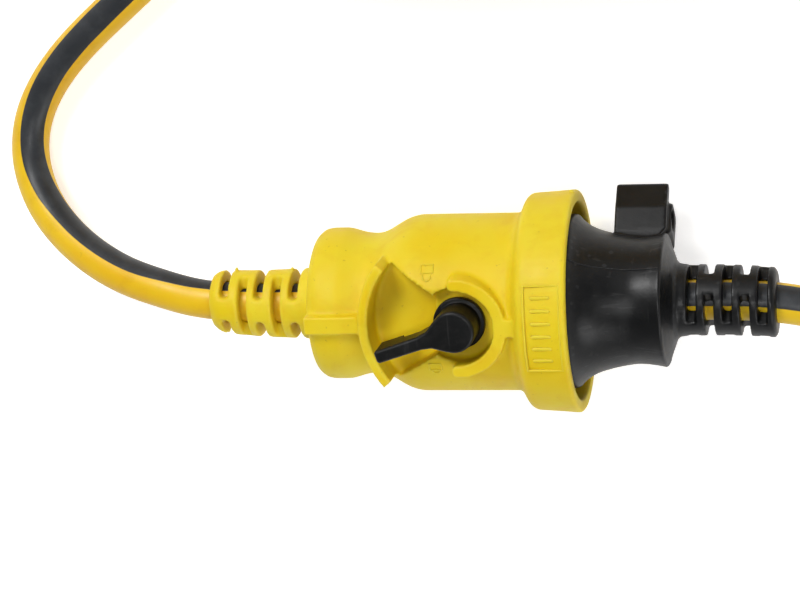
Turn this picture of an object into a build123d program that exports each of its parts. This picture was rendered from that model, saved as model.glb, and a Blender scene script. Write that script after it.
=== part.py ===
from build123d import *
import math
import os
from bisect import bisect_left

# Shore power cord: a trailing socket with a locking lever, and the moulded plug
# of the same lead pushed into it. Millimetres. The origin is the centre of the
# socket's contact face, +X points out of the socket's mouth towards the plug,
# and +Z is the axis of the locking lever's spindle. Names ending in _x, _y and _z
# are positions, _r radii, _w widths and _t thicknesses.

os.makedirs("parts", exist_ok=True)

# ---------------------------------------------------------------- shared sizes
cable_r = 4.9               # outside of the flexible lead
cable_bore_r = 4.95         # bore of the over-moulding around the lead
core_r = 1.55               # insulated core
core_off = 1.85             # cores from the middle of the lead
wire_r = 0.80               # stranded conductor
crimp_r = 1.9               # crimp barrel on every contact and pin
crimp_bore_r = wire_r + 0.05

# pins, shared by the plug and the openings in the socket
face_gap = 0.6              # plug face in front of the socket face
pin_live_r = 7.92           # live pins from the axis
pin_earth_r = 10.31         # earth pin from the axis
live_w, live_len = 6.35, 17.06
earth_w, earth_len = 9.08, 19.94
pin_t = 1.6

# angles about the axis, from +Y towards +Z
earth_angle = 90.0
active_angle = -30.0
neutral_angle = 210.0

# angle, distance from the axis, radial size, tangential size
pin_sections = [
    (earth_angle, pin_earth_r, earth_w, pin_t),
    (active_angle, pin_live_r, pin_t, live_w),
    (neutral_angle, pin_live_r, pin_t, live_w),
]

# strain relief: five staggered gaps that cut the moulding's tail into rings
relief_w = 1.9              # width of each gap
relief_pitch = 4.4
relief_root_r = 4.0         # the gaps go through to the bore around the lead
relief_outer_r = 12.0       # beyond the outside of the tail
bridge_w = 5.6              # width of the bridges between neighbouring rings
bridge_len = 30.0           # across the whole tail


def radial_plane(x, angle):
    """Plane across the axis at x: local x is radial at the angle from +Y, local y tangential."""
    a = math.radians(angle)
    return Plane(origin=(x, 0, 0), x_dir=(0, math.cos(a), math.sin(a)), z_dir=(1, 0, 0))


def relief_gaps(first_x):
    """Start x of each gap and the size of the bar that bridges it, in cutting order."""
    upright, level = (bridge_w, bridge_len), (bridge_len, bridge_w)
    return [(first_x + i * relief_pitch - relief_w / 2, level if i % 2 else upright)
            for i in (0, 2, 4, 1, 3)]


def save(name, piece):
    piece.label = name
    export_step(piece, f"parts/{name}.step")


# ---------------------------------------------------------------- socket housing
body_r = 22.0
collar_bore_r = 24.3
collar_rim_r = 27.5         # outside of the collar at its rim
collar_depth = 4.6          # how far the collar stands in front of the contact face
face_seat_x, face_seat_r = -3.3, 19.6
chamber_r = 12.5            # bore around the rear carrier
socket_rear_x = -85.7
socket_relief_x = -83.0     # middle of the first gap

# locking lever's recess, around the spindle axis
hub_x = -21.3
pit_r, pit_z = 9.3, 17.2    # round pit around the lever's hub, and its floor
fan_z = 13.0                # floor of the fan-shaped recess
fan_half = 40.4             # half angle of the fan
fan_root_x, fan_root_y = hub_x - 5.8, 7.5
recess_cut = 20.0           # depth that clears everything above a floor
cwall_r = 12.4              # outside of the C-shaped wall
cwall_base_z, cwall_z = 14.0, 24.0
arc_r0, arc_r1 = 22.2, 24.7     # arc wall at the end of the fan
arc_base_z, arc_z = 13.5, 21.75
arc_root = 2.0              # the wall starts this far inside arc_r0, before the fan is cut
arc_half = 39.0             # half angle of the arc wall
leg_angle = 14.0            # legs under both ends of the arc wall
leg_z0, leg_z1 = 6.0, 14.0
rear_rib_x0, rear_rib_x1 = -59.2, -45.4
rear_rib_w = 4.4
rear_rib_z0, rear_rib_z1 = 8.0, 20.5
front_rib_len, front_rib_w = 5.8, 4.0
front_rib_x = hub_x + cwall_r + 1.9     # its middle
spindle_r = 2.0
keyway_x0, keyway_x1 = -25.6, -3.0
keyway_w = 9.3
keyway_z0, keyway_z1 = 4.0, 15.8

# outlines: x, radius
socket_tail_outline = [
    (socket_rear_x, cable_bore_r), (socket_rear_x, 6.6), (-84.7, 7.8), (-83.9, 8.1),
    (-63.4, 8.9), (-61.2, 9.3), (-59.8, 10.3), (-59.5, 11.2), (-59.5, 15.4),
    (-58.9, 17.2), (-57.6, 18.3), (-56.2, 18.6), (-53.0, 18.6),
]
waist = [
    (-53.0, 18.6), (-51.0, 18.35), (-49.0, 17.95), (-46.0, 17.5), (-43.6, 17.7),
    (-41.0, 18.8), (-38.8, 20.1), (-36.7, 21.2), (-34.7, 21.8), (-32.4, body_r),
]
socket_front_outline = [
    (-32.4, body_r), (-9.0, body_r), (-7.8, 22.9), (-6.2, 26.1), (-5.3, 26.8),
    (collar_depth - 0.5, collar_rim_r), (collar_depth, collar_rim_r - 0.5),
    (collar_depth, collar_bore_r + 0.3), (collar_depth - 0.3, collar_bore_r),
    (0, collar_bore_r), (0, face_seat_r), (face_seat_x, face_seat_r),
    (face_seat_x, chamber_r), (-24.3, chamber_r), (-27.0, 9.8),
    (-53.5, cable_bore_r), (socket_rear_x, cable_bore_r),
]


def make_socket_housing():
    with BuildPart() as housing:
        with BuildSketch(Plane.XZ):
            with BuildLine():
                Polyline(*socket_tail_outline)
                Spline(*waist, tangents=[(1, 0), (1, 0)])
                Polyline(*socket_front_outline)
            make_face()
        revolve(axis=Axis.X)

        # arc wall and its two legs
        with BuildSketch(Plane.XY.offset(arc_base_z)):
            with BuildLine():
                outer = CenterArc((hub_x, 0), arc_r1, 180 - arc_half, 2 * arc_half)
                inner = CenterArc((hub_x, 0), arc_r0 - arc_root, 180 - arc_half, 2 * arc_half)
                Line(outer @ 0, inner @ 0)
                Line(outer @ 1, inner @ 1)
            make_face()
        extrude(amount=arc_z - arc_base_z)
        with BuildSketch(Plane.XY.offset(leg_z0)):
            for start_angle in (180 - arc_half, 180 + arc_half - leg_angle):
                with BuildLine():
                    outer = CenterArc((hub_x, 0), arc_r1, start_angle, leg_angle)
                    inner = CenterArc((hub_x, 0), arc_r0, start_angle, leg_angle)
                    Line(outer @ 0, inner @ 0)
                    Line(outer @ 1, inner @ 1)
                make_face()
        extrude(amount=leg_z1 - leg_z0)

        # C-shaped wall: the +X half of a disc with rounded ends, hollowed later by the pit
        with BuildSketch(Plane.XY.offset(cwall_base_z)):
            with Locations((hub_x, 0)):
                Circle(cwall_r)
            with Locations((hub_x - 15, 0)):
                Rectangle(30, 60, mode=Mode.SUBTRACT)
            with Locations((hub_x, (cwall_r + pit_r) / 2), (hub_x, -(cwall_r + pit_r) / 2)):
                Circle((cwall_r - pit_r) / 2)
        extrude(amount=cwall_z - cwall_base_z)

        # ribs in front of the C-shaped wall and behind the arc wall
        with BuildSketch(Plane.XY.offset(cwall_base_z)):
            with Locations((front_rib_x, 0)):
                Rectangle(front_rib_len, front_rib_w)
        extrude(amount=cwall_z - cwall_base_z)
        with BuildSketch(Plane.XY.offset(rear_rib_z0)):
            with Locations(((rear_rib_x0 + rear_rib_x1) / 2, 0)):
                Rectangle(rear_rib_x1 - rear_rib_x0, rear_rib_w)
        extrude(amount=rear_rib_z1 - rear_rib_z0)

        # fan-shaped recess, pit around the hub and the spindle's bearing hole
        with BuildSketch(Plane.XY.offset(fan_z)):
            with BuildLine():
                fan_arc = CenterArc((hub_x, 0), arc_r0, 180 - fan_half, 2 * fan_half)
                Polyline(fan_arc @ 0, (fan_root_x, fan_root_y), (fan_root_x, -fan_root_y),
                         fan_arc @ 1)
            make_face()
        extrude(amount=recess_cut, mode=Mode.SUBTRACT)
        with BuildSketch(Plane.XY.offset(pit_z)):
            with Locations((hub_x, 0)):
                Circle(pit_r)
        extrude(amount=recess_cut, mode=Mode.SUBTRACT)
        with BuildSketch(Plane.XY.offset(14.0)):
            with Locations((hub_x, 0)):
                Circle(spindle_r + 0.05)
        extrude(amount=6.0, mode=Mode.SUBTRACT)

        # keyway chamber for the earth contact and the lock mechanism
        with BuildSketch(Plane.XY.offset(keyway_z0)):
            with Locations(((keyway_x0 + keyway_x1) / 2, 0)):
                Rectangle(keyway_x1 - keyway_x0, keyway_w)
        extrude(amount=keyway_z1 - keyway_z0, mode=Mode.SUBTRACT)

        for gap_x, bridge in relief_gaps(socket_relief_x):
            with BuildSketch(Plane.YZ.offset(gap_x)):
                Circle(relief_outer_r)
                Circle(relief_root_r, mode=Mode.SUBTRACT)
                Rectangle(*bridge, mode=Mode.SUBTRACT)
            extrude(amount=relief_w, mode=Mode.SUBTRACT)
    return housing.part


# ---------------------------------------------------------------- carriers in the socket
socket_face_t = 3.2
socket_face_r = 19.5
pin_opening_clear = 0.5     # total, in both directions

carrier_x0, carrier_x1 = -24.0, -3.4
carrier_r = 12.4
carrier_key_w, carrier_key_h, carrier_key_z = 9.0, 15.4, 8.0    # key filling the keyway

# contacts: two leaves standing on a base, with a crimp barrel behind
contact_w = 2.9             # over both leaves
leaf_t = 0.6                # also the thickness of the base
leaf_off = (contact_w - leaf_t) / 2
live_leaf_w = 6.0
earth_crimp_z = 4.6
pocket_w = contact_w + 0.2
crimp_hole_r = crimp_r + 0.15
carrier_cut_x = -26.0       # cuts open to the back start here


def make_socket_face():
    with BuildPart() as face:
        with BuildSketch(Plane.YZ.offset(-socket_face_t)):
            Circle(socket_face_r)
        extrude(amount=socket_face_t)
        for angle, radius, radial_size, tangential_size in pin_sections:
            with BuildSketch(radial_plane(-4, angle)):
                with Locations((radius, 0)):
                    Rectangle(radial_size + pin_opening_clear,
                              tangential_size + pin_opening_clear)
            extrude(amount=6, mode=Mode.SUBTRACT)
    return face.part


def make_rear_carrier():
    with BuildPart() as carrier:
        with BuildSketch(Plane.YZ.offset(carrier_x0)):
            Circle(carrier_r)
            with Locations((0, carrier_key_z)):
                Rectangle(carrier_key_w, carrier_key_h)
        extrude(amount=carrier_x1 - carrier_x0)

        # earth contact pocket and the way out for its tail
        with BuildSketch(Plane.YZ.offset(-20.0)):
            with Locations((0, 9.9)):
                Rectangle(pocket_w, 9.9)
        extrude(amount=20.0, mode=Mode.SUBTRACT)
        with BuildSketch(Plane.YZ.offset(carrier_cut_x)):
            with Locations((0, earth_crimp_z)):
                Circle(crimp_hole_r)
        extrude(amount=12.0, mode=Mode.SUBTRACT)
        with BuildSketch(Plane.YZ.offset(-21.6)):
            with Locations((0, 5.2)):
                Rectangle(pocket_w, 1.4)
        extrude(amount=8.0, mode=Mode.SUBTRACT)

        # room for the spindle's end and its clip, and for the bar of the sliding shoe
        with BuildSketch(Plane.XY.offset(11.3)):
            with Locations(((-25.0 - 17.2) / 2, 0)):
                Rectangle(25.0 - 17.2, 7.7)
            with Locations(((-20.0 - 9.6) / 2, 2.6)):
                Rectangle(20.0 - 9.6, 2.4)
        extrude(amount=6.0, mode=Mode.SUBTRACT)

        # live contact pockets, open to the back for the crimped tails
        for angle in (active_angle, neutral_angle):
            with BuildSketch(radial_plane(carrier_cut_x, angle)):
                with Locations((pin_live_r, 0)):
                    Rectangle(pocket_w, live_leaf_w + 0.6)
            extrude(amount=26, mode=Mode.SUBTRACT)
            with BuildSketch(radial_plane(carrier_cut_x, angle)):
                with Locations((pin_live_r, 0)):
                    Circle(crimp_hole_r)
            extrude(amount=8.2, mode=Mode.SUBTRACT)
    return carrier.part


# ---------------------------------------------------------------- contacts
def make_earth_contact():
    leaf_x, leaf_len = -19.0, 15.0
    leaf_w, leaf_z = 8.8, 10.0
    base_z = 5.35
    tongue_x, tongue_len = -21.4, 3.0   # the base runs on to the back
    crimp_x, crimp_len, bore_len = -24.6, 3.6, 3.0
    with BuildPart() as contact:
        with BuildSketch(Plane.YZ.offset(leaf_x)):
            with Locations((leaf_off, leaf_z), (-leaf_off, leaf_z)):
                Rectangle(leaf_t, leaf_w)
            with Locations((0, base_z)):
                Rectangle(contact_w, leaf_t)
        extrude(amount=leaf_len)
        with BuildSketch(Plane.YZ.offset(tongue_x)):
            with Locations((0, base_z)):
                Rectangle(contact_w, leaf_t)
        extrude(amount=tongue_len)
        with BuildSketch(Plane.YZ.offset(crimp_x)):
            with Locations((0, earth_crimp_z)):
                Circle(crimp_r)
        extrude(amount=crimp_len)
        with BuildSketch(Plane.YZ.offset(crimp_x)):
            with Locations((0, earth_crimp_z)):
                Circle(crimp_bore_r)
        extrude(amount=bore_len, mode=Mode.SUBTRACT)
    return contact.part


def make_live_contact(angle):
    leaf_x, leaf_len = -17.6, 13.6
    crimp_x, crimp_len, bore_len = -23.6, 5.5, 4.5
    with BuildPart() as contact:
        with BuildSketch(radial_plane(leaf_x, angle)):
            with Locations((pin_live_r + leaf_off, 0), (pin_live_r - leaf_off, 0)):
                Rectangle(leaf_t, live_leaf_w)
        extrude(amount=leaf_len)
        with BuildSketch(radial_plane(leaf_x - leaf_t, angle)):
            with Locations((pin_live_r, 0)):
                Rectangle(contact_w, live_leaf_w)
        extrude(amount=leaf_t)
        with BuildSketch(radial_plane(crimp_x, angle)):
            with Locations((pin_live_r, 0)):
                Circle(crimp_r)
        extrude(amount=crimp_len)
        with BuildSketch(radial_plane(crimp_x, angle)):
            with Locations((pin_live_r, 0)):
                Circle(crimp_bore_r)
        extrude(amount=bore_len, mode=Mode.SUBTRACT)
    return contact.part


# ---------------------------------------------------------------- locking lever group
lever_rest = 18.0           # arm from -X towards -Y at rest, degrees
lever_tip_r = 20.5
eccentricity = 0.7          # throw of the eccentric journal
journal_r = 1.1
lock_travel = 48.0          # turn between locked and released, degrees
shoe_clear = 0.06
square_w = 2.62             # square end of the spindle, inside the lever
neck_r = 1.4                # groove for the clip

journal_angle = math.radians(180.0 + lock_travel / 2)
journal_x = hub_x + eccentricity * math.cos(journal_angle)
journal_y = eccentricity * math.sin(journal_angle)

# half outlines of the arm: distance along the arm from the spindle, half width
arm_tip = [(lever_tip_r - 0.5, 1.6), (lever_tip_r, 1.1)]
arm_half_outline = [(1.0, 5.1), (3.4, 4.1), (6.4, 2.2), (9.0, 1.7)] + arm_tip
arm_foot_half_outline = [(14.0, 1.6)] + arm_tip


def arm_outline(half_outline):
    """Both sides of a half outline, turned to the arm's direction about the spindle."""
    a = math.radians(180.0 + lever_rest)
    both_sides = half_outline + [(along, -side) for along, side in reversed(half_outline)]
    return [(hub_x + along * math.cos(a) - side * math.sin(a),
             along * math.sin(a) + side * math.cos(a)) for along, side in both_sides]


def make_lock_lever():
    flange_z, hub_z, arm_z, top_z = 17.4, 19.1, 21.0, 27.0
    socket_z = 17.0             # cuts from below start here
    with BuildPart() as lever:
        with BuildSketch(Plane.XY.offset(flange_z)):
            with Locations((hub_x, 0)):
                Circle(6.4)
        extrude(amount=hub_z - flange_z)
        with BuildSketch(Plane.XY.offset(hub_z)):
            with Locations((hub_x, 0)):
                Circle(5.2)
        extrude(amount=top_z - hub_z)
        with BuildSketch(Plane.XY.offset(arm_z)):
            with BuildLine():
                Polyline(*arm_outline(arm_half_outline), close=True)
            make_face()
        extrude(amount=top_z - arm_z)
        # foot under the arm's tip
        with BuildSketch(Plane.XY.offset(18.7)):
            with BuildLine():
                Polyline(*arm_outline(arm_foot_half_outline), close=True)
            make_face()
        extrude(amount=3.0)
        chamfer(lever.faces().sort_by(Axis.Z)[-1].outer_wire().edges(), length=0.5)
        # round, then square, hole for the spindle
        with BuildSketch(Plane.XY.offset(socket_z)):
            with Locations((hub_x, 0)):
                Circle(spindle_r + 0.02)
        extrude(amount=0.9, mode=Mode.SUBTRACT)
        with BuildSketch(Plane.XY.offset(socket_z)):
            with Locations((hub_x, 0)):
                Rectangle(square_w + 0.04, square_w + 0.04)
        extrude(amount=6.6, mode=Mode.SUBTRACT)
    return lever.part


def make_lock_spindle():
    # lower journals: bottom z, height, centre, radius
    lower_journals = [
        (15.0, 0.8, (hub_x, 0), neck_r),
        (14.2, 0.8, (hub_x, 0), 1.87),
        (11.5, 2.8, (journal_x, journal_y), journal_r),
    ]
    with BuildPart() as spindle:
        with BuildSketch(Plane.XY.offset(15.7)):
            with Locations((hub_x, 0)):
                Circle(spindle_r)
        extrude(amount=2.0)
        with BuildSketch(Plane.XY.offset(17.7)):
            with Locations((hub_x, 0)):
                Rectangle(square_w, square_w)
        extrude(amount=5.6)
        for bottom_z, height, centre, radius in lower_journals:
            with BuildSketch(Plane.XY.offset(bottom_z)):
                with Locations(centre):
                    Circle(radius)
            extrude(amount=height)
    return spindle.part


def make_spindle_clip():
    """Open washer in the spindle's neck, its mouth towards -X."""
    mouth_len, mouth_w = 5.2, 2.5
    with BuildPart() as clip:
        with BuildSketch(Plane.XY.offset(15.05)):
            with Locations((hub_x, 0)):
                Circle(3.5)
                Circle(neck_r + 0.03, mode=Mode.SUBTRACT)
            with Locations((hub_x - mouth_len / 2, 0)):
                Rectangle(mouth_len, mouth_w, mode=Mode.SUBTRACT)
        extrude(amount=0.6)
    return clip.part


def make_lock_shoe():
    """Block slotted for the eccentric journal, with a bar running towards +X."""
    block_x0, block_x1 = -24.2, -19.55
    bar_x0, bar_x1 = -20.0, -10.2
    with BuildPart() as shoe:
        with BuildSketch(Plane.XY.offset(11.7)):
            with Locations(((block_x0 + block_x1) / 2, 0.25)):
                Rectangle(block_x1 - block_x0, 5.3)
            with Locations(((bar_x0 + bar_x1) / 2 + 0.2 - 0.2, 2.2)):
                Rectangle(bar_x1 - bar_x0, 1.4)
            with Locations((-21.95, journal_y)):
                Rectangle(2.7, 2 * (journal_r + shoe_clear), mode=Mode.SUBTRACT)
        extrude(amount=1.8)
    return shoe.part


# ---------------------------------------------------------------- plug housing
plug_rear_x = 57.4
plug_relief_x = 36.2            # middle of the first gap
carrier_seat_r = 16.05
wire_chamber_r = 10.4
wire_chamber_x0, wire_chamber_x1 = 6.7, 24.0
tab_lean = 45.0                 # the finger tab leans this far from +Y towards -Z
relief_lean = 45.0              # turn of the plug's relief bridges about the axis
tab_x0, tab_x1 = 13.4, 26.3
boss_x0, boss_x1 = tab_x0 + 0.7, 27.3
tether_r = 2.7                  # lanyard hole
tether_off = 22.6               # its middle from the axis

# outlines: x, radius
plug_front_outline = [
    (wire_chamber_x0, wire_chamber_r), (wire_chamber_x0, carrier_seat_r),
    (face_gap, carrier_seat_r), (face_gap, 21.0), (1.1, 21.5), (4.6, 21.5), (5.4, 21.2),
]
plug_grip = [
    (5.4, 21.2), (7.4, 19.2), (10.5, 17.6), (13.6, 16.7), (17.0, 16.1), (20.0, 15.9),
    (23.5, 16.15), (26.0, 16.5), (28.4, 16.9),
]
plug_tail_outline = [
    (28.4, 16.9), (29.0, 16.7), (29.2, 15.6), (30.2, 12.2), (31.8, 9.9), (33.4, 9.0),
    (35.0, 8.75), (56.4, 8.55), (57.2, 7.7), (plug_rear_x, 6.6), (plug_rear_x, cable_bore_r),
    (31.0, cable_bore_r), (wire_chamber_x1, wire_chamber_r), (wire_chamber_x0, wire_chamber_r),
]

# sections of the finger tab: distance out along the tab, distance across it
tab_plate_outline = [
    (9.0, 4.0), (23.0, 6.2), (29.6, 5.9), (30.2, 5.3), (30.2, 3.4), (29.6, 2.8), (9.0, 2.8),
]
tab_boss_outline = [
    (9.0, 3.0), (25.4, 3.0), (26.4, 2.0), (26.4, -4.0), (25.2, -5.4), (9.0, -5.4),
]


def make_plug_housing():
    with BuildPart() as housing:
        with BuildSketch(Plane.XZ):
            with BuildLine():
                Polyline(*plug_front_outline)
                Spline(*plug_grip)
                Polyline(*plug_tail_outline)
            make_face()
        revolve(axis=Axis.X)

        # finger tab: a plate, the deeper boss against it, and the lanyard hole through the boss
        with BuildSketch(radial_plane(tab_x0, -tab_lean)):
            with BuildLine():
                Polyline(*tab_plate_outline, close=True)
            make_face()
        extrude(amount=tab_x1 - tab_x0)
        with BuildSketch(radial_plane(boss_x0, -tab_lean)):
            with BuildLine():
                Polyline(*tab_boss_outline, close=True)
            make_face()
        extrude(amount=boss_x1 - boss_x0)
        with BuildSketch(radial_plane(tab_x0 - 1, -tab_lean)):
            with Locations((tether_off, 0.0)):
                Circle(tether_r)
        extrude(amount=tab_x1 - tab_x0 + 4, mode=Mode.SUBTRACT)

        # keep the wire chamber clear of the tab's root
        with BuildSketch(Plane.YZ.offset(wire_chamber_x0)):
            Circle(wire_chamber_r)
        extrude(amount=wire_chamber_x1 - wire_chamber_x0, mode=Mode.SUBTRACT)

        for gap_x, bridge in relief_gaps(plug_relief_x):
            with BuildSketch(radial_plane(gap_x, relief_lean)):
                Circle(relief_outer_r)
                Circle(relief_root_r, mode=Mode.SUBTRACT)
                Rectangle(*bridge, mode=Mode.SUBTRACT)
            extrude(amount=relief_w, mode=Mode.SUBTRACT)
    return housing.part


def make_pin_carrier():
    pin_fit = 0.04              # total, in both directions
    with BuildPart() as carrier:
        with BuildSketch(Plane.YZ.offset(face_gap)):
            Circle(carrier_seat_r - 0.05)
        extrude(amount=6.0)
        for angle, radius, radial_size, tangential_size in pin_sections:
            with BuildSketch(radial_plane(0, angle)):
                with Locations((radius, 0)):
                    Rectangle(radial_size + pin_fit, tangential_size + pin_fit)
            extrude(amount=12, mode=Mode.SUBTRACT)
    return carrier.part


# ---------------------------------------------------------------- pins
pin_tip_chamfer = 0.5
pin_tail_x, pin_tail_len, pin_tail_w = 6.0, 7.0, 3.2
pin_crimp_x, pin_crimp_len = 12.0, 6.0
pin_bore_x = 13.2
earth_crimp_r = 7.9             # earth pin's crimp from the axis
earth_tail_r = 8.1              # and its tail
sleeve_x0, sleeve_x1 = -7.8, 2.5    # insulated stretch of the live pins
sleeve_end_gap = 0.02


def make_earth_pin():
    with BuildPart() as pin:
        with BuildSketch(radial_plane(face_gap - earth_len, earth_angle)):
            with Locations((pin_earth_r, 0)):
                Rectangle(earth_w, pin_t)
        extrude(amount=earth_len + 5.9)
        chamfer(pin.faces().sort_by(Axis.X)[0].edges(), length=pin_tip_chamfer)
        with BuildSketch(radial_plane(pin_tail_x, earth_angle)):
            with Locations((earth_tail_r, 0)):
                Rectangle(pin_tail_w, pin_t)
        extrude(amount=pin_tail_len)
        with BuildSketch(radial_plane(pin_crimp_x, earth_angle)):
            with Locations((earth_crimp_r, 0)):
                Circle(crimp_r)
        extrude(amount=pin_crimp_len)
        with BuildSketch(radial_plane(pin_bore_x, earth_angle)):
            with Locations((earth_crimp_r, 0)):
                Circle(crimp_bore_r)
        extrude(amount=pin_crimp_len, mode=Mode.SUBTRACT)
    return pin.part


def make_live_pin(angle):
    waist_cut = 0.7             # the pin is this much thinner inside its sleeve
    with BuildPart() as pin:
        with BuildSketch(radial_plane(face_gap - live_len, angle)):
            with Locations((pin_live_r, 0)):
                Rectangle(pin_t, live_w)
        extrude(amount=live_len + 6.4)
        chamfer(pin.faces().sort_by(Axis.X)[0].edges(), length=pin_tip_chamfer)
        with BuildSketch(radial_plane(sleeve_x0, angle)):
            with Locations((pin_live_r, 0)):
                Rectangle(4, 9)
                Rectangle(pin_t - waist_cut, live_w - waist_cut, mode=Mode.SUBTRACT)
        extrude(amount=sleeve_x1 - sleeve_x0, mode=Mode.SUBTRACT)
        with BuildSketch(radial_plane(pin_tail_x, angle)):
            with Locations((pin_live_r, 0)):
                Rectangle(pin_t, pin_tail_w)
        extrude(amount=pin_tail_len)
        with BuildSketch(radial_plane(pin_crimp_x, angle)):
            with Locations((pin_live_r, 0)):
                Circle(crimp_r)
        extrude(amount=pin_crimp_len)
        with BuildSketch(radial_plane(pin_bore_x, angle)):
            with Locations((pin_live_r, 0)):
                Circle(crimp_bore_r)
        extrude(amount=pin_crimp_len, mode=Mode.SUBTRACT)
    return pin.part


def make_sleeve(angle):
    wall_cut = 0.66             # twice the sleeve's wall
    with BuildPart() as sleeve:
        with BuildSketch(radial_plane(sleeve_x0 + sleeve_end_gap, angle)):
            with Locations((pin_live_r, 0)):
                Rectangle(pin_t, live_w)
                Rectangle(pin_t - wall_cut, live_w - wall_cut, mode=Mode.SUBTRACT)
        extrude(amount=sleeve_x1 - sleeve_x0 - 2 * sleeve_end_gap)
    return sleeve.part


# ---------------------------------------------------------------- cores at both ends of the lead
lead_end_socket = -54.4         # where the sheath ends inside the socket
lead_end_plug = 31.8            # and inside the plug

# name, angle, sheath end x, core end x, core end from the axis, wire end x
core_runs = [
    ("active", active_angle, lead_end_socket, -25.0, pin_live_r, -20.5),
    ("neutral", neutral_angle, lead_end_socket, -25.0, pin_live_r, -20.5),
    ("earth", earth_angle, lead_end_socket, -25.6, earth_crimp_z, -22.4),
    ("plug_active", active_angle, lead_end_plug, 18.6, pin_live_r, 14.0),
    ("plug_neutral", neutral_angle, lead_end_plug, 18.6, pin_live_r, 14.0),
    ("plug_earth", earth_angle, lead_end_plug, 18.6, earth_crimp_r, 14.0),
]


def radial_point(x, radius, angle):
    a = math.radians(angle)
    return (x, radius * math.cos(a), radius * math.sin(a))


def make_core(start, end, heading):
    """Insulation of one core, from the sheath's end to near the crimp."""
    with BuildPart() as core:
        with BuildLine():
            Spline(start, end, tangents=[heading, heading])
        with BuildSketch(Plane(origin=start, z_dir=heading)):
            Circle(core_r)
            Circle(wire_r + 0.03, mode=Mode.SUBTRACT)
        sweep()
    return core.part


def make_wire(start, end, heading, wire_end_x):
    """Conductor of one core, running on straight into the crimp."""
    with BuildPart() as wire:
        with BuildLine():
            run = Spline(start, end, tangents=[heading, heading])
            Line(run @ 1, (wire_end_x, end[1], end[2]))
        with BuildSketch(Plane(origin=start, z_dir=heading)):
            Circle(wire_r)
        sweep()
    return wire.part


# ---------------------------------------------------------------- the flexible lead
# Seen from above, with +Y up the page: the lead leaves the socket towards -X, drops to
# the ground in a wide hook round to +Y, crosses under an oblong coil, runs clockwise
# round it, and comes down its +X side and round into the plug.
ground_z = -22.5                # middle of the lead where it lies on the ground
coil_x, coil_y = 12.0, 156.0
coil_half_x, coil_half_y = 141.0, 61.0
coil_exponent = 2.5             # exponent of the oval
coil_pitch = 10.4
coil_turns = 3
coil_extra_steps = 4
steps_per_turn = 44
coil_start_x = 97.0             # the coil starts here on the +Y run
first_climb = 0.6               # part of a turn in which the lead climbs its first pitch
rim_steps = 1440

lead_straight_socket = -86.0    # the lead is straight between here and the socket's end
lead_straight_plug = 57.6       # and between the plug's end and here
lead_join_y = 123.0             # where the coil's side meets the plug's side of the lead
join_gap = 0.00006              # half the gap at the join, as a share of the curve
main_parts, tail_parts = 18, 3  # swept stretches on each side of the join

# stations: x, y, z
hook = [
    (-62.0, 0, 0), (-70.0, 0, 0), (-78.0, 0, 0), (lead_straight_socket, 0, 0),
    (-94.9, 2.0, -0.3), (-103, 4.0, -1.4), (-111.6, 6.3, -3.7), (-120.5, 9.9, -7.0),
    (-128.5, 14.7, -10.8), (-135.6, 21.3, -15.0), (-140.0, 28.9, -18.5),
    (-141.5, 36.5, -20.9), (-140.2, 44.4, -22.2), (-136.2, 52.2, ground_z),
    (-130.1, 59.7, ground_z), (-122, 67.2, ground_z), (-112.6, 74.8, ground_z),
]
under_coil = [
    (-86, 96.6, ground_z), (-54, 123.4, ground_z), (-22, 150.2, ground_z),
    (10, 176.5, ground_z), (36, 196.0, ground_z), (58, 208.2, ground_z),
    (80, 213.8, ground_z),
]
tail = [
    (157.3, 96.0, 7.0), (157.0, 78.0, 2.5), (154.6, 60.0, -1.2), (149.5, 42.0, -3.8),
    (141.0, 25.5, -5.2), (129.0, 11.5, -5.6), (114.5, 1.0, -5.0), (99.0, -4.8, -3.4),
    (84.0, -5.8, -1.6), (70.5, -3.4, -0.4), (lead_straight_plug, 0, 0), (49.0, 0, 0),
    (41.0, 0, 0), (33.0, 0, 0),
]


def oval_point(t):
    c, s = math.cos(t), math.sin(t)
    return (coil_x + coil_half_x * math.copysign(abs(c) ** (2 / coil_exponent), c),
            coil_y + coil_half_y * math.copysign(abs(s) ** (2 / coil_exponent), s))


# the oval, clockwise from the middle of its +Y run, and the distance to each of its points
rim = [oval_point(math.pi / 2 - 2 * math.pi * i / rim_steps) for i in range(rim_steps + 1)]
rim_distance = [0.0]
for i in range(1, len(rim)):
    rim_distance.append(rim_distance[-1] + math.dist(rim[i], rim[i - 1]))
perimeter = rim_distance[-1]


def rim_at(distance):
    """Point of the oval at a distance along it."""
    distance = distance % perimeter
    i = bisect_left(rim_distance, distance, 1)
    before, after = rim[i - 1], rim[i]
    share = (distance - rim_distance[i - 1]) / (rim_distance[i] - rim_distance[i - 1])
    return (before[0] + share * (after[0] - before[0]),
            before[1] + share * (after[1] - before[1]))


def coil_z(turn):
    climbed = turn / first_climb if turn < first_climb else 1 - first_climb + turn
    return ground_z + coil_pitch * climbed


def make_route():
    """Centre line of the whole lead, as one edge."""
    coil_start = 0.0
    while rim_at(coil_start)[0] < coil_start_x:
        coil_start += 0.5
    coil = []
    for i in range(coil_turns * steps_per_turn + coil_extra_steps):
        x, y = rim_at(coil_start + i * perimeter / steps_per_turn)
        coil.append((x, y, coil_z(i / steps_per_turn)))
    top_z = coil[-1][2]
    run_down = [
        (152.9, 150.0, top_z + 0.6), (155.0, 132.0, top_z + 0.3), (156.4, 114.0, top_z - 1.5),
    ]
    with BuildLine() as route_line:
        Spline(*hook, *under_coil, *coil, *run_down, *tail)
    return route_line.edges()[0]


def find_parameter(curve, start, step, reached):
    """First parameter, in steps from the start, whose point satisfies the condition."""
    u = start
    while not reached(curve.position_at(u)):
        u += step
    return u


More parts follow.
